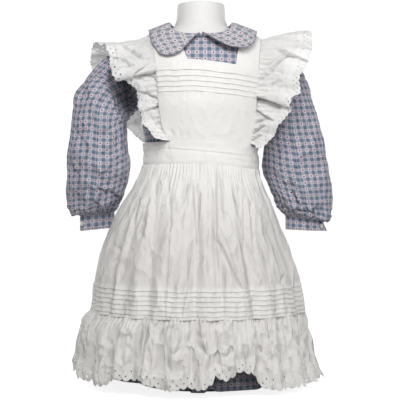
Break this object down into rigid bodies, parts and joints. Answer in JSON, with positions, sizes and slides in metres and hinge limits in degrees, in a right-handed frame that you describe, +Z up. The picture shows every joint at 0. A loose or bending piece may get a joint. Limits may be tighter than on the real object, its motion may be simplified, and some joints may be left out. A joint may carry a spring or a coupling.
{
  "type": "dirndl dress with pinafore on a limbless dress form",
  "caption": "Child's long-sleeved print dress with a round collar under a white pinafore with tucked bib, shoulder ruffles and flounced skirt, worn on a limbless dress form with pole and foot.",
  "frame": {"origin": "centre of the underside of the form's round foot plate, on the floor", "axes": "+Z up along the form's pole, -Y out of the dress's front, +X to the right as seen from the front"},
  "size_m": [0.4396, 0.3789, 0.624],
  "materials": {
    "print_cotton": "matte woven cotton with a small lavender-grey flower print",
    "white_cotton": "matte plain-weave white cotton",
    "shell_button": "smooth pale button",
    "form_shell": "smooth off-white shell",
    "stand_metal": "satin metal"
  },
  "bodies": {
    "root": {"form_torso": "form_shell", "form_pole": "stand_metal", "form_foot": "stand_metal", "bodice_front": "print_cotton", "bodice_back_left": "print_cotton", "bodice_back_right": "print_cotton", "sleeve_left": "print_cotton", "sleeve_right": "print_cotton", "cuff_left": "print_cotton", "cuff_right": "print_cotton", "collar_left": "print_cotton", "collar_right": "print_cotton", "dress_skirt": "print_cotton", "back_button_1": "shell_button", "back_button_2": "shell_button", "back_button_3": "shell_button", "cuff_button_left": "shell_button", "cuff_button_right": "shell_button", "waistband_button": "shell_button", "pinafore_bib": "white_cotton", "back_strap_left": "white_cotton", "back_strap_right": "white_cotton", "ruffle_left": "white_cotton", "ruffle_right": "white_cotton", "waistband": "white_cotton", "pinafore_skirt": "white_cotton", "flounce": "white_cotton"}
  },
  "joints": []
}
